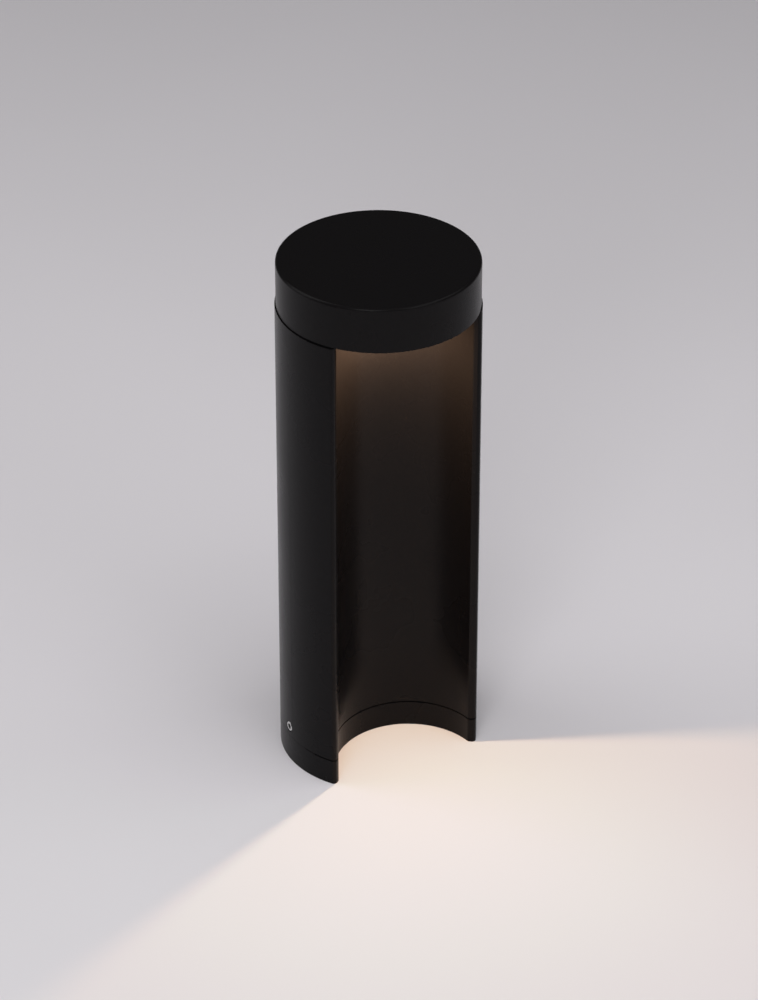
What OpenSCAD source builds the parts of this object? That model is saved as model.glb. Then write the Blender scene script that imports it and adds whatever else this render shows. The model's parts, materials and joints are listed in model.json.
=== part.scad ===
// Bollard light with a crescent column, a round cap and a downlight that shines into the concave recess.
// Millimetres, Z up, ground at Z 0, column axis on the Z axis, the recess opens toward -Y.

/* [Overall] */
// Overall height, ground to the top of the cap
total_h = 300; // [220:1:600]
// Outside diameter of the column and base
body_d = 108.4; // [96:0.1:140]
// Outside diameter of the round cap
cap_d = 107.2; // [95:0.1:139]
// Height of the cap's side
cap_h = 25.8; // [24:0.1:40]
// Height of the mounting base
base_h = 14.7; // [10:0.1:30]
// Thickness of the seal between base and column, which shows as a thin dark seam
seam_h = 0.8; // [0.3:0.1:2]
// Thickness of the seal between column and cap
head_seam_h = 1; // [0.3:0.1:2]
// How far the seals sit behind the surface
seam_in = 0.5; // [0.4:0.1:1]
// Fillet on the top edge of the cap
cap_edge_r = 1.8; // [0.5:0.1:3]

/* [Light recess] */
// Radius of the concave recess
recess_r = 40.4; // [30:0.1:50]
// Distance from the column axis forward to the recess axis
recess_off = 36; // [25:0.1:45]
// Half the angle between the two tip faces
tip_angle = 53; // [40:0.1:70]
// Corner radius on the outer edge of each tip
tip_r_out = 2; // [0.5:0.1:2.5]
// Corner radius on the inner edge of each tip
tip_r_in = 1.5; // [0.3:0.1:1.6]

/* [Column extrusion] */
// Wall thickness of both skins
wall = 3; // [2:0.1:5]
// Radius of the bosses around the screw ports
port_boss_r = 4.6; // [4:0.1:6]
// Screw port radius for M4 screws
port_r = 2; // [1.6:0.1:2.5]
// Half width of the thick pads that carry the set screws
pad_half = 7; // [5:0.5:10]
// How far the arms' chambers reach toward the tips
arm_chamber_y = 23; // [10:1:26]

/* [Fixing to the ground] */
// Spacing of the two anchor holes
anchor_spacing = 54; // [40:1:60]
// How far the anchor holes sit behind the column axis
anchor_y = 16; // [8:1:20]
// Anchor hole diameter for M6 anchors
anchor_hole_d = 7; // [5:0.5:9]
// Thickness of the gasket under the base
gasket_h = 1.2; // [0.6:0.1:2.5]
// Height of the locating lugs above the base
lug_h = 16; // [12:0.5:26]

/* [Set screws] */
// Set screw diameter (M6)
screw_d = 6; // [4:1:8]
// Set screw length
screw_len = 8; // [6:0.5:12]
// Set screw height above the ground
screw_z = 21; // [19:0.5:26]
// How far behind the column axis the set screws sit
screw_y = 1.6; // [-2:0.1:4]
// How far the set screws sit below the column's surface
screw_in = 0.15; // [0.1:0.05:2]

/* [Lamp] */
// How far in front of the column axis the light source sits
led_off = 12.6; // [6:0.1:15]
// Radius of the light-emitting surface
led_r = 3.4; // [2:0.1:6]
// Radius of the lamp window in the head plate
window_r = 14; // [10:0.5:16]
// Thickness of the head plate
plate_h = 4; // [3.5:0.1:5]
// Thickness of the front glass
glass_h = 2.5; // [2:0.1:3]

/* [Control gear] */
// Driver width, depth and length
driver_size = [34, 20, 80]; // [10:1:120]
// Height of the driver's lower end
driver_z = 125; // [110:1:150]
// Bore radius of the cable gland
cable_r = 4.2; // [3:0.1:5]
// Radius of the insulated leads
lead_r = 0.75; // [0.5:0.05:1.2]

/* [Hidden] */

$fn = 96;
e = 0.01;
R = body_d / 2;
cap_r = cap_d / 2;
z_col0 = base_h + seam_h;
z_head = total_h - cap_h;
z_col1 = z_head - head_seam_h;
z_plate1 = z_head + plate_h;
pad_x = R - screw_in - screw_len - 0.05 + 0.45;   // inner face of the column's thick pads
lug_x = R - screw_in - screw_len - 0.05;          // outer face of the base's side lugs
anchors = [[-anchor_spacing / 2, anchor_y], [anchor_spacing / 2, anchor_y]];
shim_w = 1.3;                                 // width of the shim rings
// each step of a shim: from which y it runs back, and how high it is
seat_steps = [[-14, seam_h - 0.12], [-21, seam_h / 2]];
head_steps = [[6, head_seam_h - 0.2], [-1, head_seam_h - 0.4], [-7, head_seam_h - 0.52], [-13, head_seam_h - 0.65], [-18, head_seam_h - 0.8]];
ports = [[-40.5, -11], [40.5, -11], [-27, 34], [27, 34]];
gland_y = 28;
earth_at = [18, 29];
tray_y = 38;
tray_t = 1.5;
grommet_y = 22;
cap_wall_in = cap_r - 3.1;
cap_rim_in = cap_r - 5.9;
cap_top_t = 3.6;
cap_post_r = 44;
cap_post_angles = [-38, 0, 38];
lip_h = 1.2;                                  // lip of the head plate under the glass
z_glass0 = z_head + lip_h + 0.5;
z_glass1 = z_glass0 + glass_h;
z_clamp1 = z_glass1 + 1.5;
z_holder0 = z_clamp1 + 0.5;
z_led = z_holder0 + 2.3;                      // underside of the light board
z_pad0 = z_led + 1;
z_sink0 = z_pad0 + 0.5;
z_sink1 = z_sink0 + 4;
standoff_r = 20;
standoff_angles = [30, 150, 270];
z_led_lead = z_led - 0.9;
term_z = 84;
term_h = 18;
clamp_z = 62;
earth_z = 119.2;

function su(a) = [sin(a), -cos(a)];           // along a tip face, away from the axis
function sn(a) = [cos(a), sin(a)];            // square to a tip face, into the arm

// The crescent outline, pulled in all round by i.
module crescent(i = 0, ro = tip_r_out, ri = tip_r_in) {
  a = tip_angle;
  u = su(a);
  n = sn(a);
  Ro = R - i;
  rr = recess_r + i;
  q = [0, -recess_off];
  apex = [0, i / sin(a)];
  // outer corner: centre of the corner circle
  k = i + ro;
  co = u * sqrt(pow(Ro - ro, 2) - k * k) + n * k;
  // inner corner
  m = i + ri;
  b = recess_off * cos(a);
  c = m * m + recess_off * recess_off + 2 * m * recess_off * sin(a) - pow(rr + ri, 2);
  ci = u * (b + sqrt(b * b - c)) + n * m;
  w = (ci - q) / norm(ci - q);
  difference() {
    circle(r = Ro, $fn = 180);
    translate(q) circle(r = rr, $fn = 180);
    translate(apex) polygon([[0, 0], 130 * su(a), [-130 * sin(a), -130 * cos(a)]]);
    for (s = [0, 1]) mirror([s, 0]) {
      difference() {
        polygon([co, co - n * (ro + 1), co - n * (ro + 1) + u * (ro + 3), co * (Ro + 3) / norm(co)]);
        translate(co) circle(r = ro, $fn = 48);
      }
      difference() {
        polygon([ci, ci - n * (ri + 1), ci - n * (ri + 1) - u * (ri + 2.5), ci - w * (ri + 2), ci - w * (ri + 1)]);
        translate(ci) circle(r = ri, $fn = 48);
      }
    }
  }
}

// The hollow inside the extrusion.
module chamber(g = 0) {
  difference() {
    circle(r = R - wall - g, $fn = 180);
    translate([0, -recess_off]) circle(r = recess_r + wall + g, $fn = 180);
    translate([-80, -80 - arm_chamber_y + g]) square([160, 80]);
    for (s = [-1, 1]) translate([s * (pad_x - g + 10), screw_y]) square([20, 2 * (pad_half + g)], center = true);
    for (p = ports) translate(p) circle(r = port_boss_r + g);
    // webs that tie the bosses to the skins
    for (s = [0, 1]) mirror([s, 0]) {
      translate(ports[3]) rotate(51.5) translate([0, -1.6 - g]) square([12, 3.2 + 2 * g]);
      translate(ports[1]) rotate(-149.35) translate([0, -1.8 - g]) square([6, 3.6 + 2 * g]);
    }
  }
}

module ring(ro, ri, h, z) translate([0, 0, z]) difference() {
  cylinder(r = ro, h = h);
  translate([0, 0, -1]) cylinder(r = ri, h = h + 2);
}

module at(points, z = 0) for (p = points) translate([p[0], p[1], z]) children();
module at_led(z = 0) translate([0, -led_off, z]) children();
module at_standoffs(z = 0) for (a = standoff_angles) translate([standoff_r * cos(a), -led_off + standoff_r * sin(a), z]) children();
module at_cap_posts(z = 0) for (a = cap_post_angles) translate([cap_post_r * sin(a), -cap_post_r * cos(a), z]) children();

// A pan-head screw standing on z = 0, its shank below, with a hex socket or a cross slot in the head.
module pan_screw(r, len, head_r, head_h, socket = 0) difference() {
  union() {
    translate([0, 0, -len]) cylinder(r = r, h = len + head_h / 2, $fn = 36);
    cylinder(r = head_r, h = head_h * 0.6, $fn = 48);
    translate([0, 0, head_h * 0.6]) cylinder(r1 = head_r, r2 = head_r * 0.72, h = head_h * 0.4, $fn = 48);
    translate([0, 0, -len - 0.6]) cylinder(r1 = r * 0.6, r2 = r, h = 0.6 + e, $fn = 36);
  }
  if (socket > 0) translate([0, 0, head_h * 0.4]) cylinder(r = socket / 2 / cos(30), h = head_h, $fn = 6);
  else for (t = [0, 90]) rotate(t) translate([-head_r * 0.55, -0.35, head_h * 0.45]) cube([head_r * 1.1, 0.7, head_h]);
}

// A quarter bend of a lead, from +Z at the origin over to +Y.
module bend(rb, rw) translate([0, rb, 0]) rotate([0, 0, -90]) rotate([90, 0, 0]) rotate_extrude(angle = 90, $fn = 48) translate([rb, 0]) circle(r = rw, $fn = 24);

// ---- mounting base ----
module mounting_base() color([0.07, 0.07, 0.075]) difference() {
  union() {
    linear_extrude(base_h) crescent();
    // side lugs that the set screws press on
    for (s = [-1, 1]) translate([s * (lug_x - 3.3), screw_y, base_h - 1 + (lug_h + 1) / 2]) cube([6.6, 2 * pad_half - 1, lug_h + 1], center = true);
    // rear lug
    translate([0, 0, base_h - 1]) intersection() {
      linear_extrude(lug_h + 1) difference() {
        circle(r = R - wall - 0.4, $fn = 180);
        circle(r = R - wall - 4.4, $fn = 180);
      }
      translate([-16, 30, 0]) cube([32, 30, lug_h + 1]);
    }
    // front lug behind the recess
    translate([0, 0, base_h - 1]) intersection() {
      translate([0, -recess_off, 0]) linear_extrude(lug_h - 3) difference() {
        circle(r = recess_r + wall + 3.9, $fn = 180);
        circle(r = recess_r + wall + 0.4, $fn = 180);
      }
      translate([-14, 0, 0]) cube([28, 20, lug_h - 3]);
    }
  }
  at(anchors, -1) cylinder(d = anchor_hole_d, h = base_h + 2, $fn = 48);
  at(anchors, base_h - 1) cylinder(r = 8.4, h = 2, $fn = 64);
  translate([0, gland_y, -1]) cylinder(r = 8, h = base_h + 2, $fn = 64);
  at([earth_at], base_h - 9) cylinder(r = 2.5, h = 10, $fn = 36);
  translate([0, 0, -1]) linear_extrude(1 + gasket_h) difference() {
    crescent(3.1, 1, 0.5);
    for (p = anchors) translate(p) circle(r = 5.9);
    translate([0, gland_y]) circle(r = 10.9);
  }
}

module ground_gasket() color([0.1, 0.1, 0.1]) linear_extrude(gasket_h) difference() {
  crescent(3.2, 1, 0.5);
  for (p = anchors) translate(p) circle(r = 6);
  translate([0, gland_y]) circle(r = 11);
}

// A seal nearly flush with the recess and tips, and set back round the sides and back, where a shim covers it.
module wall_seal(z, h, y0) translate([0, 0, z]) linear_extrude(h) difference() {
  crescent(seam_in, 1, 0.5);
  chamber(-0.3);
  for (p = ports) translate(p) circle(r = 2.4, $fn = 36);
  translate([0, y0 - 0.2]) difference() {
    translate([-80, 0]) square([160, 80]);
    translate([0, 0.2 - y0]) circle(r = R - shim_w - 0.2, $fn = 180);
  }
}
module seat_seal() color([0.06, 0.06, 0.06]) wall_seal(base_h, seam_h, seat_steps[len(seat_steps) - 1][0]);
module head_seal() color([0.06, 0.06, 0.06]) wall_seal(z_col1, head_seam_h, head_steps[len(head_steps) - 1][0]);

// Coated shims that close the seams round the sides and back, in steps; the seams stay open at the tips and recess.
module shim(steps) for (p = steps) difference() {
  cylinder(r = R, h = p[1], $fn = 180);
  translate([0, 0, -1]) cylinder(r = R - shim_w, h = 3, $fn = 180);
  translate([-80, -160 + p[0], -1]) cube([160, 160, 3]);
}
module seat_shim() color([0.07, 0.07, 0.075]) translate([0, 0, base_h]) shim(seat_steps);
module head_shim() color([0.07, 0.07, 0.075]) translate([0, 0, z_col1]) shim(head_steps);

module gland_body() color([0.12, 0.12, 0.13]) translate([0, gland_y, 0]) difference() {
  union() {
    translate([0, 0, 5]) cylinder(r = 7.93, h = base_h - 5 + e, $fn = 64);
    translate([0, 0, base_h]) cylinder(r = 11, h = 5, $fn = 6);
    translate([0, 0, base_h + 5 - e]) cylinder(r = 8.2, h = 8, $fn = 64);
  }
  translate([0, 0, 4]) cylinder(r = 5, h = base_h + 1.5, $fn = 48);
  translate([0, 0, base_h + 5]) cylinder(r = 6.6, h = 9, $fn = 48);
  translate([0, 0, base_h + 1]) cylinder(r = 5.4, h = 5, $fn = 48);
}

module gland_insert() color([0.05, 0.05, 0.05]) translate([0, gland_y, base_h + 5]) difference() {
  union() {
    cylinder(r = 6.5, h = 10, $fn = 48);
  }
  translate([0, 0, -1]) cylinder(r = cable_r, h = 12, $fn = 48);
}

module gland_nut() color([0.12, 0.12, 0.13]) translate([0, gland_y, base_h + 6.2]) difference() {
  union() {
    cylinder(r = 11.2, h = 7.8, $fn = 6);
    translate([0, 0, 7.8 - e]) cylinder(r1 = 9.4, r2 = 6.8, h = 3.4, $fn = 64);
  }
  translate([0, 0, -1]) cylinder(r = 8.27, h = 7.9, $fn = 64);
  translate([0, 0, 6]) cylinder(r = 6.6, h = 3.2, $fn = 48);
  translate([0, 0, 8]) cylinder(r = 5, h = 5, $fn = 48);
}

module earth_washer() color([0.8, 0.68, 0.35]) translate([earth_at[0], earth_at[1], 0]) ring(4.9, 2.6, 1, base_h);
module earth_screw() color([0.8, 0.68, 0.35]) translate([earth_at[0], earth_at[1], base_h + 1]) pan_screw(2.44, 7.5, 4.3, 3);

// ---- column ----
module column() color([0.07, 0.07, 0.075]) difference() {
  translate([0, 0, z_col0]) linear_extrude(z_col1 - z_col0) difference() {
    crescent();
    chamber();
    for (p = ports) translate(p) circle(r = port_r, $fn = 36);
  }
  for (s = [-1, 1]) translate([0, screw_y, screw_z]) rotate([0, s * 90, 0]) {
    translate([0, 0, pad_x - 1]) cylinder(r = screw_d / 2 + 0.02, h = 20, $fn = 48);
    translate([0, 0, R - 0.35]) cylinder(r1 = screw_d / 2, r2 = screw_d / 2 + 0.45, h = 0.45, $fn = 48);
  }
}

module set_screw(s) translate([s * (R - screw_in - screw_len), screw_y, screw_z]) rotate([0, s * 90, 0]) difference() {
  union() {
    cylinder(r1 = screw_d / 2 - 0.9, r2 = screw_d / 2 - 0.05, h = 0.8, $fn = 48);
    translate([0, 0, 0.8 - e]) cylinder(r = screw_d / 2 - 0.05, h = screw_len - 1.2, $fn = 48);
    translate([0, 0, screw_len - 0.4 - 2 * e]) cylinder(r1 = screw_d / 2 - 0.05, r2 = screw_d / 2 - 0.4, h = 0.4, $fn = 48);
  }
  translate([0, 0, screw_len - 3.6]) cylinder(r = 1.5 / cos(30), h = 5, $fn = 6);
}
module set_screw_left() color([0.78, 0.78, 0.8]) set_screw(-1);
module set_screw_right() color([0.78, 0.78, 0.8]) set_screw(1);

// ---- head ----

module head_plate() color([0.3, 0.3, 0.32]) difference() {
  translate([0, 0, z_head]) cylinder(r = cap_wall_in - 0.4, h = plate_h, $fn = 180);
  // window: chamfer below, lip, seat for the glass above
  at_led(z_head - 1) cylinder(r = window_r, h = plate_h + 2);
  at_led(z_head - 0.4) cylinder(r1 = window_r + 2.2, r2 = window_r, h = 1.6);
  at_led(z_head + lip_h) cylinder(r = 17.6, h = plate_h);
  at_standoffs(z_head + 1) cylinder(r = 1.5, h = plate_h, $fn = 36);
  // screws into the column
  at(ports, z_head - 1) cylinder(r = 2.3, h = plate_h + 2, $fn = 36);
  // countersunk screws up into the cap
  at_cap_posts(z_head - 1) cylinder(r = 2.2, h = plate_h + 2, $fn = 36);
  at_cap_posts(z_head - e) cylinder(r1 = 4.1, r2 = 2.1, h = 2.3, $fn = 48);
  // lead grommet, tray screws, pocket for the cap's rear tongue
  translate([0, grommet_y, z_head - 1]) cylinder(r = 5, h = plate_h + 2, $fn = 48);
  for (s = [-1, 1]) translate([s * 12, 34, z_head - 1]) cylinder(r = 2.3, h = plate_h + 2, $fn = 36);
  translate([-10.6, 43.4, z_head - 1]) cube([21.2, 12, 3.2]);
}

module head_plate_screws() color([0.75, 0.75, 0.77]) at(ports, z_plate1) pan_screw(port_r - 0.04, 14, 3.5, 3, 3);

module cap_shell() color([0.07, 0.07, 0.075]) translate([0, 0, z_head]) difference() {
  union() {
    difference() {
      rotate_extrude($fn = 180) union() {
        square([cap_r, cap_h - cap_edge_r]);
        square([cap_r - cap_edge_r, cap_h]);
        translate([cap_r - cap_edge_r, cap_h - cap_edge_r]) circle(r = cap_edge_r, $fn = 48);
      }
      translate([0, 0, -1]) cylinder(r = cap_wall_in, h = 6.2, $fn = 180);
      translate([0, 0, 1]) cylinder(r = cap_rim_in, h = cap_h - cap_top_t - 1, $fn = 180);
    }
    // screw posts with webs to the wall
    for (a = cap_post_angles) rotate(a) {
      translate([0, -cap_post_r, plate_h + 0.05]) cylinder(r = 3.4, h = cap_h - cap_top_t - plate_h + 0.5, $fn = 48);
      translate([-1.5, -cap_rim_in - 1, plate_h + 4]) cube([3, 4, cap_h - cap_top_t - plate_h - 3.5]);
    }
    // tongue that hooks under the rear edge of the head plate
    translate([-10, 44, 0.2]) cube([20, cap_wall_in - 44 + 0.4, 1.7]);
  }
  at_cap_posts(0) cylinder(r = 1.7, h = 18, $fn = 36);
}

module cap_gasket() color([0.06, 0.06, 0.06]) ring(cap_wall_in - 0.6, cap_rim_in + 0.2, 1.2, z_plate1);

module cap_screws() color([0.75, 0.75, 0.77]) at_cap_posts(z_head) difference() {
  union() {
    translate([0, 0, 0.1]) cylinder(r1 = 3.9, r2 = 1.66, h = 2.1, $fn = 48);
    cylinder(r = 1.66, h = 15, $fn = 36);
  }
  translate([0, 0, -1]) cylinder(r = 1.25 / cos(30), h = 2.8, $fn = 6);
}

// ---- lamp ----
module glass_gasket() color([0.75, 0.75, 0.75]) at_led() ring(17.4, window_r + 0.3, 0.5, z_head + lip_h);
module front_glass() color([0.8, 0.9, 0.9, 0.5]) at_led(z_glass0) cylinder(r = 17.3, h = glass_h);

module glass_clamp() color([0.6, 0.6, 0.62]) difference() {
  at_led() ring(24, 13.2, 1.5, z_glass1);
  at_standoffs(z_glass1 - 1) cylinder(r = 1.6, h = 4, $fn = 36);
}

module standoffs() color([0.78, 0.68, 0.4]) at_standoffs() difference() {
  union() {
    translate([0, 0, z_head + 1.2]) cylinder(r = 1.45, h = z_clamp1 - z_head - 1, $fn = 36);
    translate([0, 0, z_clamp1]) cylinder(r = 3.1, h = z_sink0 - z_clamp1, $fn = 6);
  }
  translate([0, 0, z_clamp1 + 1]) cylinder(r = 1.5, h = 10, $fn = 36);
}

module led_holder() color([0.93, 0.93, 0.9]) at_led() difference() {
  translate([0, 0, z_holder0]) cylinder(r = 15.5, h = z_pad0 - z_holder0);
  translate([0, 0, z_holder0 - 0.3]) cylinder(r1 = 11, r2 = 5.2, h = 2.8);
  translate([-7, -7, z_led]) cube([14, 14, 2]);
  for (s = [-1, 1]) translate([s * 11.8, 0, z_holder0 - 1]) cylinder(r = 1.6, h = 6, $fn = 36);
  for (s = [-1, 1]) translate([s * 11.8, 0, z_holder0 - 1]) cylinder(r = 2.8, h = 2.2, $fn = 36);
  for (s = [-1, 1]) translate([s * 1.3, 10.5, z_led_lead]) rotate([-90, 0, 0]) cylinder(r = lead_r + 0.1, h = 8, $fn = 24);
}

module led_board() color([0.85, 0.85, 0.86]) at_led(z_led) translate([-6.8, -6.8, 0]) cube([13.6, 13.6, 1]);
module led_emitter() color([1, 0.85, 0.3]) at_led(z_led - 0.3) cylinder(r = led_r, h = 0.3, $fn = 48);

module holder_screws() color([0.75, 0.75, 0.77]) for (s = [-1, 1]) at_led() translate([s * 11.8, 0, z_holder0 + 1.2]) mirror([0, 0, 1]) pan_screw(1.45, 5, 2.6, 1.2);

module thermal_pad() color([0.45, 0.55, 0.7]) at_led(z_pad0) difference() {
  cylinder(r = 15.4, h = 0.5);
  for (s = [-1, 1]) translate([s * 11.8, 0, -1]) cylinder(r = 1.7, h = 3, $fn = 36);
}

module heat_sink() color([0.72, 0.72, 0.74]) difference() {
  at_led(z_sink0) union() {
    cylinder(r = 24, h = 4);
    for (k = [-3:3]) translate([k * 4 - 0.8, -15, 3]) cube([1.6, 30, 8]);
  }
  at_standoffs(z_sink0 - 1) cylinder(r = 1.6, h = 7, $fn = 36);
  at_led(z_sink0 - 1) for (s = [-1, 1]) translate([s * 11.8, 0, 0]) cylinder(r = 1.5, h = 4.4, $fn = 36);
}

module heat_sink_screws() color([0.75, 0.75, 0.77]) at_standoffs(z_sink1) pan_screw(1.45, 6.4, 2.75, 2, 2);

module lead_grommet() color([0.05, 0.05, 0.05]) translate([0, grommet_y, z_head - 1.2]) difference() {
  union() {
    cylinder(r = 6.5, h = 1.2, $fn = 48);
    cylinder(r = 4.95, h = plate_h + 2.4, $fn = 48);
    translate([0, 0, plate_h + 1.2]) cylinder(r = 6.5, h = 1.2, $fn = 48);
  }
  translate([0, 0, -1]) cylinder(r = 2.9, h = plate_h + 5, $fn = 48);
}

// One LED lead: out of the holder, over the plate, down through the grommet and into the driver.
module led_lead(x) {
  rb = 5;
  y0 = -led_off + 12;
  translate([x, y0, z_led_lead]) rotate([-90, 0, 0]) cylinder(r = lead_r, h = grommet_y - rb - y0 + e, $fn = 24);
  translate([x, grommet_y, z_led_lead - rb]) rotate([0, 0, 180]) bend(rb, lead_r);
  translate([x, grommet_y, driver_z + driver_size[2] - 3]) cylinder(r = lead_r, h = z_led_lead - rb - driver_z - driver_size[2] + 3 + e, $fn = 24);
}
module led_lead_positive() color([0.7, 0.05, 0.05]) led_lead(1.3);
module led_lead_negative() color([0.05, 0.05, 0.05]) led_lead(-1.3);

// ---- control gear ----
module gear_tray() color([0.72, 0.73, 0.75]) difference() {
  union() {
    translate([-19, tray_y, 56]) cube([38, tray_t, z_head - 56]);
    translate([-19, 29.5, z_head - tray_t]) cube([38, tray_y + tray_t - 29.5, tray_t]);
    for (s = [0, 1]) mirror([s, 0, 0]) translate([17.5, 33, 56]) cube([tray_t, 6, 200]);
    for (s = [-1, 1]) translate([s * 12, 34, z_head - 5]) cylinder(r = 3.4, h = 4, $fn = 36);
  }
  for (s = [-1, 1]) translate([s * 12, 34, z_head - 6]) cylinder(r = 2, h = 8, $fn = 36);
  for (z = [driver_z - 4, driver_z + driver_size[2] + 4]) translate([0, tray_y - 1, z]) rotate([-90, 0, 0]) cylinder(r = 1.5, h = 4, $fn = 36);
  for (s = [-1, 1]) translate([s * 9.6, tray_y - 1, clamp_z + 5]) rotate([-90, 0, 0]) cylinder(r = 1.5, h = 4, $fn = 36);
  for (s = [-1, 1]) translate([s * 5, tray_y - 1, term_z + term_h / 2]) rotate([-90, 0, 0]) cylinder(r = 1.5, h = 4, $fn = 36);
  translate([-10, tray_y - 1, earth_z]) rotate([-90, 0, 0]) cylinder(r = 1.75, h = 4, $fn = 36);
}

module tray_screws() color([0.75, 0.75, 0.77]) for (s = [-1, 1]) translate([s * 12, 34, z_plate1]) pan_screw(1.96, 9.5, 3.5, 2.6, 2.5);

module led_driver() color([0.9, 0.9, 0.88]) difference() {
  union() {
    translate([-driver_size[0] / 2, tray_y - driver_size[1], driver_z]) cube([driver_size[0], driver_size[1], driver_size[2]]);
    translate([-5, tray_y - 2.5, driver_z - 8]) cube([10, 2.5, driver_size[2] + 16]);
  }
  for (z = [driver_z - 4, driver_z + driver_size[2] + 4]) translate([0, tray_y - 4, z]) rotate([-90, 0, 0]) cylinder(r = 1.6, h = 6, $fn = 36);
  for (x = [-1.3, 1.3]) translate([x, grommet_y, driver_z + driver_size[2] - 3.2]) cylinder(r = lead_r + 0.05, h = 5, $fn = 24);
  for (x = [1, 11]) translate([x, 29, driver_z - 2]) cylinder(r = lead_r + 0.05, h = 5.2, $fn = 24);
  // shallow grooves that mark the lid
  for (s = [-1, 1]) translate([s * driver_size[0] / 2, tray_y - 14, driver_z + driver_size[2] / 2]) cube([0.8, 0.8, driver_size[2] + 2], center = true);
}

module driver_screws() color([0.75, 0.75, 0.77]) for (z = [driver_z - 4, driver_z + driver_size[2] + 4]) translate([0, tray_y - 2.5, z]) rotate([90, 0, 0]) pan_screw(1.45, 5.5, 2.75, 2);

module terminal_block() color([0.9, 0.9, 0.88]) difference() {
  translate([-15, 22, term_z]) cube([30, 16, term_h]);
  for (x = [-9, 1, 11]) {
    translate([x, 21, term_z + 5]) rotate([-90, 0, 0]) cylinder(r = 2.2, h = 6, $fn = 36);
    translate([x, 21, term_z + 13]) rotate([-90, 0, 0]) cylinder(r = 2.2, h = 6, $fn = 36);
    translate([x, 29, term_z - 1]) cylinder(r = 1.6, h = 7, $fn = 36);
    translate([x, 29, term_z + term_h - 5]) cylinder(r = lead_r + 0.05, h = 7, $fn = 24);
  }
  for (x = [-5, 6]) translate([x - 0.6, 21, term_z - 1]) cube([1.2, 3, term_h + 2]);
  for (s = [-1, 1]) translate([s * 5, 25.5, term_z + term_h / 2]) rotate([-90, 0, 0]) {
    cylinder(r = 1.6, h = 20, $fn = 36);
    translate([0, 0, -6]) cylinder(r = 2.9, h = 8, $fn = 36);
  }
}

module terminal_screws() color([0.8, 0.72, 0.45]) for (x = [-9, 1, 11]) for (z = [5, 13]) translate([x, 23.2, term_z + z]) rotate([-90, 0, 0]) difference() {
  cylinder(r = 2.1, h = 3.6, $fn = 36);
  translate([-3, -0.3, -1]) cube([6, 0.6, 1.8]);
}

module block_screws() color([0.75, 0.75, 0.77]) for (s = [-1, 1]) translate([s * 5, 27.5, term_z + term_h / 2]) rotate([90, 0, 0]) pan_screw(1.45, 13, 2.75, 1.8);

module supply_lead(x) translate([x, 29, term_z + term_h - 4.8]) cylinder(r = lead_r, h = driver_z - term_z - term_h + 4.8 + 3, $fn = 24);
module supply_lead_line() color([0.35, 0.18, 0.08]) supply_lead(1);
module supply_lead_neutral() color([0.1, 0.3, 0.75]) supply_lead(11);

// The earth lead climbs from the block, steps back to the tray and ends in its lug.
module earth_lead() color([0.3, 0.65, 0.15]) translate([-9, 29, 0]) {
  translate([0, 0, term_z + term_h - 4.8]) cylinder(r = lead_r, h = 105 - term_z - term_h + 4.8 + e, $fn = 24);
  translate([0, 0, 105]) bend(3, lead_r);
  translate([0, 6, 111]) rotate([180, 0, 0]) bend(3, lead_r);
  translate([0, 6, 111 - e]) cylinder(r = lead_r, h = 3, $fn = 24);
}

module earth_lug() color([0.8, 0.8, 0.82]) difference() {
  union() {
    translate([-9, 35, 111.6]) cylinder(r = 1.3, h = 4, $fn = 36);
    translate([-10.3, 35.5, 114]) cube([2.6, 2.5, 1.6]);
    translate([-11.5, 37.2, 114]) cube([3.8, 0.8, 3]);
    translate([-10, 37.2, earth_z]) rotate([-90, 0, 0]) cylinder(r = 3.4, h = 0.8, $fn = 48);
  }
  translate([-9, 35, 111]) cylinder(r = lead_r + 0.04, h = 3.2, $fn = 24);
  translate([-10, 36, earth_z]) rotate([-90, 0, 0]) cylinder(r = 1.9, h = 4, $fn = 36);
}

module tray_earth_screw() color([0.8, 0.68, 0.35]) translate([-10, 37.2, earth_z]) rotate([90, 0, 0]) pan_screw(1.7, 5, 3, 2);

module cable_clamp() color([0.12, 0.12, 0.13]) difference() {
  union() {
    translate([-13, tray_y - 5, clamp_z]) cube([26, 5, 10]);
    translate([0, tray_y - 4.3, clamp_z]) cylinder(r = 6.4, h = 10, $fn = 64);
  }
  translate([0, tray_y - 4.3, clamp_z - 1]) cylinder(r = cable_r, h = 12, $fn = 48);
  translate([-cable_r, tray_y - 4.3, clamp_z - 1]) cube([2 * cable_r, 6, 12]);
  translate([-20, tray_y, clamp_z - 1]) cube([40, 10, 12]);
  for (s = [-1, 1]) translate([s * 9.6, tray_y - 8, clamp_z + 5]) rotate([-90, 0, 0]) cylinder(r = 1.6, h = 12, $fn = 36);
}
module clamp_screws() color([0.75, 0.75, 0.77]) for (s = [-1, 1]) translate([s * 9.6, tray_y - 5, clamp_z + 5]) rotate([90, 0, 0]) pan_screw(1.45, 8, 2.75, 2);

mounting_base();
ground_gasket();
seat_seal();
seat_shim();
gland_body();
gland_insert();
gland_nut();
earth_screw();
earth_washer();
column();
head_seal();
head_shim();
head_plate();
head_plate_screws();
cap_shell();
cap_gasket();
cap_screws();
glass_gasket();
front_glass();
glass_clamp();
standoffs();
led_holder();
led_board();
led_emitter();
holder_screws();
thermal_pad();
heat_sink();
heat_sink_screws();
lead_grommet();
led_lead_positive();
led_lead_negative();
gear_tray();
tray_screws();
led_driver();
driver_screws();
terminal_block();
terminal_screws();
block_screws();
supply_lead_line();
supply_lead_neutral();
earth_lead();
earth_lug();
tray_earth_screw();
cable_clamp();
clamp_screws();
set_screw_left();
set_screw_right();
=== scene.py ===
import json
import math

import bpy
from mathutils import Matrix, Vector

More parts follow.
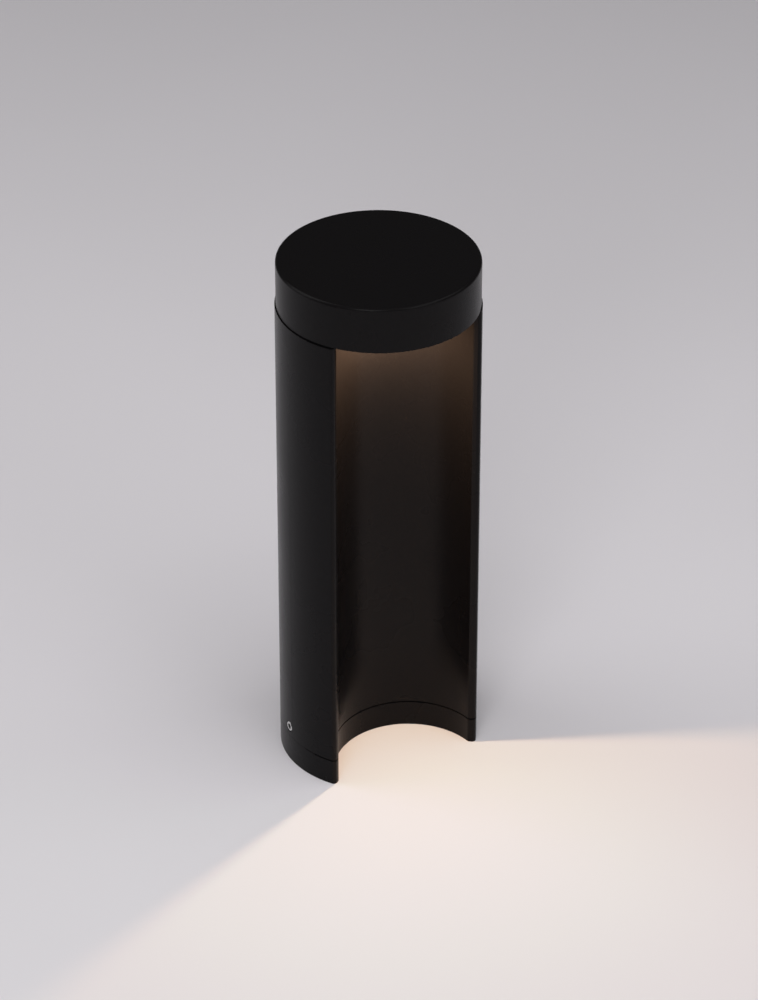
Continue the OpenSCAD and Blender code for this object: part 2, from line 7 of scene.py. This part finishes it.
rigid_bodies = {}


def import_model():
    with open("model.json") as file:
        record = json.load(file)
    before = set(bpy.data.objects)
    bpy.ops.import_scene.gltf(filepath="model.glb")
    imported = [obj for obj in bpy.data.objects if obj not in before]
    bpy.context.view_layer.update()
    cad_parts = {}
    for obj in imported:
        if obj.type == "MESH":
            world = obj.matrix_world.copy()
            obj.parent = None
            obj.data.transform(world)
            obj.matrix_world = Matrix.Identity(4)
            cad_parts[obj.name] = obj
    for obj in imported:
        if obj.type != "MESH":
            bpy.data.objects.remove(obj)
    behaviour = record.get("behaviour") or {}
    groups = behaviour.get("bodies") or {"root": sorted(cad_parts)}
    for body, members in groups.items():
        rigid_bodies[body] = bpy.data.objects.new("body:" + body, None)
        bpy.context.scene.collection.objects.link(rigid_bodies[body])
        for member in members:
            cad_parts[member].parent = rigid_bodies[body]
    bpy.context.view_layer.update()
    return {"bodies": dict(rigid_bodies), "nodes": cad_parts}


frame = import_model()
NODES = frame["nodes"]
BODIES = frame["bodies"]


# ---------------------------------------------------------------- materials
def new_material(name):
    m = bpy.data.materials.new(name)
    m.use_nodes = True
    nt = m.node_tree
    nt.nodes.clear()
    out = nt.nodes.new("ShaderNodeOutputMaterial")
    p = nt.nodes.new("ShaderNodeBsdfPrincipled")
    nt.links.new(p.outputs["BSDF"], out.inputs["Surface"])
    return m, nt, p, out


def coords(nt, scale=(1, 1, 1)):
    tc = nt.nodes.new("ShaderNodeTexCoord")
    mp = nt.nodes.new("ShaderNodeMapping")
    mp.inputs["Scale"].default_value = scale
    nt.links.new(tc.outputs["Object"], mp.inputs["Vector"])
    return mp.outputs["Vector"]


def noise(nt, vec, scale, detail=4.0, rough=0.55, distort=0.0):
    n = nt.nodes.new("ShaderNodeTexNoise")
    n.inputs["Scale"].default_value = scale
    n.inputs["Detail"].default_value = detail
    n.inputs["Roughness"].default_value = rough
    n.inputs["Distortion"].default_value = distort
    nt.links.new(vec, n.inputs["Vector"])
    return n.outputs["Fac"]


def ramp(nt, fac, stops):
    r = nt.nodes.new("ShaderNodeValToRGB")
    cr = r.color_ramp
    while len(cr.elements) < len(stops):
        cr.elements.new(0.5)
    for e, (pos, col) in zip(cr.elements, stops):
        e.position = pos
        e.color = (*col, 1.0)
    nt.links.new(fac, r.inputs["Fac"])
    return r.outputs["Color"]


def to_range(nt, fac, lo, hi, a=0.0, b=1.0):
    r = nt.nodes.new("ShaderNodeMapRange")
    r.inputs["From Min"].default_value = a
    r.inputs["From Max"].default_value = b
    r.inputs["To Min"].default_value = lo
    r.inputs["To Max"].default_value = hi
    nt.links.new(fac, r.inputs["Value"])
    return r.outputs["Result"]


def bump(nt, height, strength, distance, below=None):
    b = nt.nodes.new("ShaderNodeBump")
    b.inputs["Strength"].default_value = strength
    b.inputs["Distance"].default_value = distance
    nt.links.new(height, b.inputs["Height"])
    if below is not None:
        nt.links.new(below, b.inputs["Normal"])
    return b.outputs["Normal"]


def powder_coat(name, dark=(0.0050, 0.0044, 0.0047), light=(0.0072, 0.0065, 0.0068), rough=(0.25, 0.31), spec=0.088, grain=1300.0, strength=0.10):
    """Satin black powder coat: slightly orange-peeled, with a fine grain and faint patches of more and less gloss."""
    m, nt, p, _ = new_material(name)
    v = coords(nt)
    peel = noise(nt, v, 320.0, 2.0, 0.5)
    fine = noise(nt, v, grain, 3.0, 0.6)
    patch = noise(nt, v, 22.0, 3.0, 0.5)
    nt.links.new(ramp(nt, fine, [(0.3, dark), (0.75, light)]), p.inputs["Base Color"])
    nt.links.new(to_range(nt, patch, rough[0], rough[1], 0.3, 0.7), p.inputs["Roughness"])
    n1 = bump(nt, peel, strength * 0.8, 0.0004)
    nt.links.new(bump(nt, fine, strength, 0.00015, n1), p.inputs["Normal"])
    p.inputs["Specular IOR Level"].default_value = spec
    return m


def metal(name, base, light, rough, scale=(1, 1, 1), grain=400.0, strength=0.08, aniso=0.0):
    m, nt, p, _ = new_material(name)
    v = coords(nt, scale)
    fine = noise(nt, v, grain, 5.0, 0.6)
    broad = noise(nt, coords(nt), 60.0, 3.0, 0.5)
    nt.links.new(ramp(nt, fine, [(0.25, base), (0.75, light)]), p.inputs["Base Color"])
    nt.links.new(to_range(nt, broad, rough[0], rough[1], 0.3, 0.7), p.inputs["Roughness"])
    nt.links.new(bump(nt, fine, strength, 0.0001), p.inputs["Normal"])
    p.inputs["Metallic"].default_value = 1.0
    p.inputs["Anisotropic"].default_value = aniso
    return m


def plastic(name, base, light, rough, spec=0.5, grain=900.0, strength=0.08, scatter=0.0):
    m, nt, p, _ = new_material(name)
    v = coords(nt)
    fine = noise(nt, v, grain, 3.0, 0.6)
    broad = noise(nt, v, 45.0, 3.0, 0.5)
    nt.links.new(ramp(nt, broad, [(0.3, base), (0.7, light)]), p.inputs["Base Color"])
    nt.links.new(to_range(nt, fine, rough[0], rough[1], 0.3, 0.7), p.inputs["Roughness"])
    nt.links.new(bump(nt, fine, strength, 0.0001), p.inputs["Normal"])
    p.inputs["Specular IOR Level"].default_value = spec
    if scatter > 0:
        p.inputs["Subsurface Weight"].default_value = scatter
        p.inputs["Subsurface Scale"].default_value = 0.001
    return m


def galvanised(name):
    """Zinc-plated sheet: a faint spangle of flat crystals, each a little lighter or darker."""
    m, nt, p, _ = new_material(name)
    v = coords(nt)
    vor = nt.nodes.new("ShaderNodeTexVoronoi")
    vor.inputs["Scale"].default_value = 260.0
    nt.links.new(v, vor.inputs["Vector"])
    bw = nt.nodes.new("ShaderNodeRGBToBW")
    nt.links.new(vor.outputs["Color"], bw.inputs["Color"])
    nt.links.new(ramp(nt, bw.outputs["Val"], [(0.1, (0.42, 0.43, 0.45)), (0.9, (0.62, 0.63, 0.65))]), p.inputs["Base Color"])
    nt.links.new(to_range(nt, bw.outputs["Val"], 0.28, 0.5), p.inputs["Roughness"])
    nt.links.new(bump(nt, noise(nt, v, 700.0), 0.05, 0.0001), p.inputs["Normal"])
    p.inputs["Metallic"].default_value = 1.0
    return m


def striped_insulation(name, base, stripe):
    m, nt, p, _ = new_material(name)
    tc = nt.nodes.new("ShaderNodeTexCoord")
    sep = nt.nodes.new("ShaderNodeSeparateXYZ")
    nt.links.new(tc.outputs["Object"], sep.inputs["Vector"])
    half = nt.nodes.new("ShaderNodeMath")
    half.operation = "GREATER_THAN"
    half.inputs[1].default_value = -0.00905
    nt.links.new(sep.outputs["X"], half.inputs[0])
    mix = nt.nodes.new("ShaderNodeMix")
    mix.data_type = "RGBA"
    mix.inputs[6].default_value = (*base, 1)
    mix.inputs[7].default_value = (*stripe, 1)
    nt.links.new(half.outputs[0], mix.inputs[0])
    nt.links.new(mix.outputs[2], p.inputs["Base Color"])
    fine = noise(nt, coords(nt), 900.0)
    nt.links.new(to_range(nt, fine, 0.35, 0.5), p.inputs["Roughness"])
    nt.links.new(bump(nt, fine, 0.05, 0.0001), p.inputs["Normal"])
    return m


def glass(name):
    m, nt, p, _ = new_material(name)
    v = coords(nt)
    smear = noise(nt, v, 90.0, 4.0, 0.6)
    nt.links.new(ramp(nt, smear, [(0.2, (0.93, 0.97, 0.96)), (0.8, (0.98, 1.0, 0.99))]), p.inputs["Base Color"])
    nt.links.new(to_range(nt, smear, 0.0, 0.05, 0.35, 0.75), p.inputs["Roughness"])
    p.inputs["Transmission Weight"].default_value = 1.0
    p.inputs["IOR"].default_value = 1.5
    return m


def phosphor(name):
    """The light-emitting surface: yellow phosphor over a grid of chips, glowing warm white."""
    m, nt, p, _ = new_material(name)
    v = coords(nt)
    vor = nt.nodes.new("ShaderNodeTexVoronoi")
    vor.feature = "F1"
    vor.inputs["Scale"].default_value = 900.0
    vor.inputs["Randomness"].default_value = 0.0
    nt.links.new(v, vor.inputs["Vector"])
    nt.links.new(ramp(nt, vor.outputs["Distance"], [(0.2, (1.0, 0.86, 0.55)), (0.6, (0.95, 0.68, 0.28))]), p.inputs["Base Color"])
    nt.links.new(ramp(nt, vor.outputs["Distance"], [(0.2, (1.0, 0.80, 0.52)), (0.6, (1.0, 0.66, 0.34))]), p.inputs["Emission Color"])
    p.inputs["Emission Strength"].default_value = 12.0
    nt.links.new(bump(nt, vor.outputs["Distance"], 0.1, 0.0002), p.inputs["Normal"])
    nt.links.new(to_range(nt, noise(nt, v, 500.0), 0.3, 0.5), p.inputs["Roughness"])
    return m


COAT = powder_coat("black_powder_coat")
COAT_PLATE = powder_coat("black_powder_coat_plate", rough=(0.45, 0.58), grain=900.0, strength=0.14)
RUBBER = plastic("black_rubber", (0.012, 0.012, 0.012), (0.022, 0.022, 0.022), (0.75, 0.9), 0.25, 700.0, 0.15)
# painted shade: the seat and head seals are black rubber, but coloured far darker and duller than the other rubber, so
# that they paint shade into the seams
SEAM_RUBBER_PAINTED_SHADE = plastic("seam_rubber_painted_shade", (0.0016, 0.0016, 0.0016), (0.003, 0.003, 0.003), (0.8, 0.95), 0.03, 700.0, 0.15)
SILICONE = plastic("silicone", (0.50, 0.50, 0.48), (0.62, 0.62, 0.6), (0.45, 0.6), 0.4, 700.0, 0.05, 0.3)
PAD = plastic("thermal_pad", (0.28, 0.34, 0.46), (0.36, 0.43, 0.56), (0.7, 0.85), 0.3, 600.0, 0.2)
BLACK_PLASTIC = plastic("black_plastic", (0.012, 0.012, 0.013), (0.02, 0.02, 0.021), (0.42, 0.58), 0.45, 1400.0, 0.12)
WHITE_PLASTIC = plastic("white_plastic", (0.72, 0.72, 0.69), (0.8, 0.8, 0.77), (0.32, 0.46), 0.5, 1300.0, 0.06, 0.15)
BRASS = metal("brass", (0.60, 0.43, 0.17), (0.80, 0.62, 0.30), (0.22, 0.36), (1, 1, 6), 500.0)
STAINLESS = metal("stainless", (0.62, 0.62, 0.61), (0.82, 0.82, 0.81), (0.16, 0.28), (1, 1, 1), 700.0, 0.05)
ALUMINIUM = metal("bare_aluminium", (0.66, 0.67, 0.69), (0.82, 0.83, 0.85), (0.26, 0.40), (8, 1, 1), 260.0, 0.10, 0.3)
TINNED = metal("tinned_copper", (0.62, 0.61, 0.6), (0.78, 0.77, 0.75), (0.3, 0.42), (1, 1, 1), 500.0)
ZINC = galvanised("galvanised_steel")
GLASS = glass("clear_glass")
PHOSPHOR = phosphor("phosphor")
RED = plastic("red_insulation", (0.42, 0.02, 0.02), (0.55, 0.035, 0.03), (0.35, 0.5), 0.5, 900.0, 0.06)
BLACK_WIRE = plastic("black_insulation", (0.012, 0.012, 0.012), (0.022, 0.022, 0.022), (0.35, 0.5), 0.5, 900.0, 0.06)
BROWN = plastic("brown_insulation", (0.14, 0.055, 0.02), (0.2, 0.085, 0.035), (0.35, 0.5), 0.5, 900.0, 0.06)
BLUE = plastic("blue_insulation", (0.02, 0.10, 0.38), (0.035, 0.15, 0.5), (0.35, 0.5), 0.5, 900.0, 0.06)
GREEN = striped_insulation("green_insulation", (0.10, 0.38, 0.05), (0.80, 0.68, 0.05))

LOOK = {
    "mounting_base": COAT, "seat_shim": COAT, "head_shim": COAT, "column": COAT, "cap_shell": COAT, "head_plate": COAT_PLATE,
    "ground_gasket": RUBBER, "seat_seal": SEAM_RUBBER_PAINTED_SHADE, "head_seal": SEAM_RUBBER_PAINTED_SHADE, "cap_gasket": RUBBER, "gland_insert": RUBBER, "lead_grommet": RUBBER,
    "glass_gasket": SILICONE, "thermal_pad": PAD,
    "gland_body": BLACK_PLASTIC, "gland_nut": BLACK_PLASTIC, "cable_clamp": BLACK_PLASTIC,
    "earth_screw": BRASS, "earth_washer": BRASS, "terminal_screws": BRASS, "tray_earth_screw": BRASS, "standoffs": BRASS,
    "head_plate_screws": STAINLESS, "cap_screws": STAINLESS, "holder_screws": STAINLESS, "heat_sink_screws": STAINLESS, "tray_screws": STAINLESS,
    "driver_screws": STAINLESS, "block_screws": STAINLESS, "clamp_screws": STAINLESS, "set_screw_left": STAINLESS, "set_screw_right": STAINLESS,
    "front_glass": GLASS, "glass_clamp": ALUMINIUM, "heat_sink": ALUMINIUM, "led_board": ALUMINIUM,
    "led_holder": WHITE_PLASTIC, "led_emitter": PHOSPHOR, "led_driver": WHITE_PLASTIC, "terminal_block": WHITE_PLASTIC,
    "led_lead_positive": RED, "led_lead_negative": BLACK_WIRE, "gear_tray": ZINC,
    "supply_lead_line": BROWN, "supply_lead_neutral": BLUE, "earth_lead": GREEN, "earth_lug": TINNED,
}
for name, m in LOOK.items():
    me = NODES[name].data
    me.materials.clear()
    me.materials.append(m)


# ---------------------------------------------------------------- stage
def floor_material():
    m, nt, p, out = new_material("stage_floor")
    v = coords(nt)
    fac = noise(nt, v, 3.0, 2.0, 0.5)
    nt.links.new(ramp(nt, fac, [(0.3, (0.812, 0.782, 0.815)), (0.7, (0.828, 0.798, 0.832))]), p.inputs["Base Color"])
    p.inputs["Roughness"].default_value = 0.9
    p.inputs["Specular IOR Level"].default_value = 0.1
    # seen from below the floor is clear, so that the underside shows
    geo = nt.nodes.new("ShaderNodeNewGeometry")
    clear = nt.nodes.new("ShaderNodeBsdfTransparent")
    mix = nt.nodes.new("ShaderNodeMixShader")
    nt.links.new(geo.outputs["Backfacing"], mix.inputs["Fac"])
    nt.links.new(p.outputs["BSDF"], mix.inputs[1])
    nt.links.new(clear.outputs["BSDF"], mix.inputs[2])
    nt.links.new(mix.outputs["Shader"], out.inputs["Surface"])
    return m


bpy.ops.mesh.primitive_circle_add(vertices=96, radius=14.0, fill_type="NGON", location=(0, 0, -0.0001))
floor = bpy.context.object
floor.name = "stage_floor"
floor.data.materials.append(floor_material())


def area(name, loc, target, size, power, colour=(1, 1, 1), shape="RECTANGLE"):
    d = bpy.data.lights.new(name, "AREA")
    d.shape = shape
    d.size = size[0]
    if shape in ("RECTANGLE", "ELLIPSE"):
        d.size_y = size[1]
    d.energy = power
    d.color = colour
    o = bpy.data.objects.new(name, d)
    o.location = loc
    o.rotation_mode = "QUATERNION"
    o.rotation_quaternion = (Vector(target) - Vector(loc)).to_track_quat("-Z", "Y")
    bpy.context.scene.collection.objects.link(o)
    return o


# camera frame: the photograph's viewing direction, level
yaw, pitch, roll = 0.47957, 0.56205, 0.00047
ahead = Vector((math.sin(yaw), math.cos(yaw), 0.0))
side = Vector((math.cos(yaw), -math.sin(yaw), 0.0))


def spot(right, forward, up):
    """A point given to the right of, ahead of and above the object's foot, as the camera stands."""
    p = side * right + ahead * forward
    return (p.x, p.y, up)


def softbox(name, azimuth, elevation, distance, size, radiance, aim=(0.0, 0.0, 0.1), colour=(1, 1, 1)):
    """A soft light seen at an azimuth to the right of the camera's and an elevation above the floor."""
    a, e = math.radians(azimuth), math.radians(elevation)
    level = distance * math.cos(e)
    p = spot(level * math.sin(a), -level * math.cos(a), distance * math.sin(e))
    return area(name, p, aim, size, radiance * math.pi * size[0] * size[1], colour)


SOFTBOXES = [
    ("front_key", -11, 30, 2.6, (0.9, 0.7), 5.4),
    ("front_key_upper", -11, 40, 2.6, (0.9, 0.7), 1.2),
    ("front_high", 0, 62, 1.8, (0.97, 0.69), 2.1),
    ("front_right", 45, 42, 2.6, (1.3, 1.0), 1.3),
    ("front_right_low", 45, 25, 2.6, (1.3, 1.0), 1.0),
    ("left_low", -95, 24, 2.6, (1.5, 1.0), 1.65),
    ("left_high", -95, 52, 2.0, (1.15, 0.92), 1.8),
    ("right_high", 90, 52, 2.0, (1.15, 0.92), 1.4),
    ("overhead", 0, 87, 1.8, (1.25, 1.25), 1.62),
]
for row in SOFTBOXES:
    box = softbox(*row)
    # the high lights stay out of the reflections, where they would blur the dark line along the cap's edge
    box.visible_glossy = row[0] not in ("overhead", "front_high")

lamp = area("lamp", (0, -0.0126, 0.2733), (0, -0.0126, 0.0), (0.0068, 0.0068), 0.46, (1.0, 0.65, 0.38), "DISK")
lamp.visible_camera = False
lamp.parent = BODIES["column"]

world = bpy.data.worlds.new("studio")
world.use_nodes = True
bpy.context.scene.world = world
wn = world.node_tree
wn.nodes.clear()
wo = wn.nodes.new("ShaderNodeOutputWorld")
bg = wn.nodes.new("ShaderNodeBackground")
tc = wn.nodes.new("ShaderNodeTexCoord")
sep = wn.nodes.new("ShaderNodeSeparateXYZ")
wr = wn.nodes.new("ShaderNodeValToRGB")
wn.links.new(tc.outputs["Generated"], sep.inputs["Vector"])
wn.links.new(sep.outputs["Z"], wr.inputs["Fac"])
wr.color_ramp.elements[0].position = 0.0
wr.color_ramp.elements[0].color = (0.05, 0.05, 0.051, 1)
wr.color_ramp.elements[1].position = 0.45
wr.color_ramp.elements[1].color = (0.05, 0.05, 0.051, 1)
wn.links.new(wr.outputs["Color"], bg.inputs["Color"])
bg.inputs["Strength"].default_value = 1.0
wn.links.new(bg.outputs["Background"], wo.inputs["Surface"])

# ---------------------------------------------------------------- camera
fw = Vector((math.sin(yaw) * math.cos(pitch), math.cos(yaw) * math.cos(pitch), -math.sin(pitch)))
right = fw.cross(Vector((0, 0, 1))).normalized()
up = right.cross(fw)
r2 = right * math.cos(roll) + up * math.sin(roll)
u2 = up * math.cos(roll) - right * math.sin(roll)
cam_data = bpy.data.cameras.new("camera")
cam_data.lens = 150.524
cam_data.sensor_width = 36.0
cam_data.clip_start = 0.05
cam_data.clip_end = 60.0
cam = bpy.data.objects.new("camera", cam_data)
m = Matrix((r2, u2, -fw)).transposed().to_4x4()
m.translation = Vector((-0.873144, -1.679447, 1.344488))
cam.matrix_world = m
bpy.context.scene.collection.objects.link(cam)
bpy.context.scene.camera = cam
views = bpy.context.scene.view_settings
views.view_transform = "Standard"
# the brightest tones are compressed a little, as a camera does
views.use_curve_mapping = True
shoulder = views.curve_mapping
curve = shoulder.curves[3]
for x, y in ((0.6, 0.6), (0.8, 0.76)):
    curve.points.new(x, y)
curve.points[-1].location = (1.0, 0.855)
for point in curve.points:
    point.handle_type = "VECTOR"
shoulder.update()
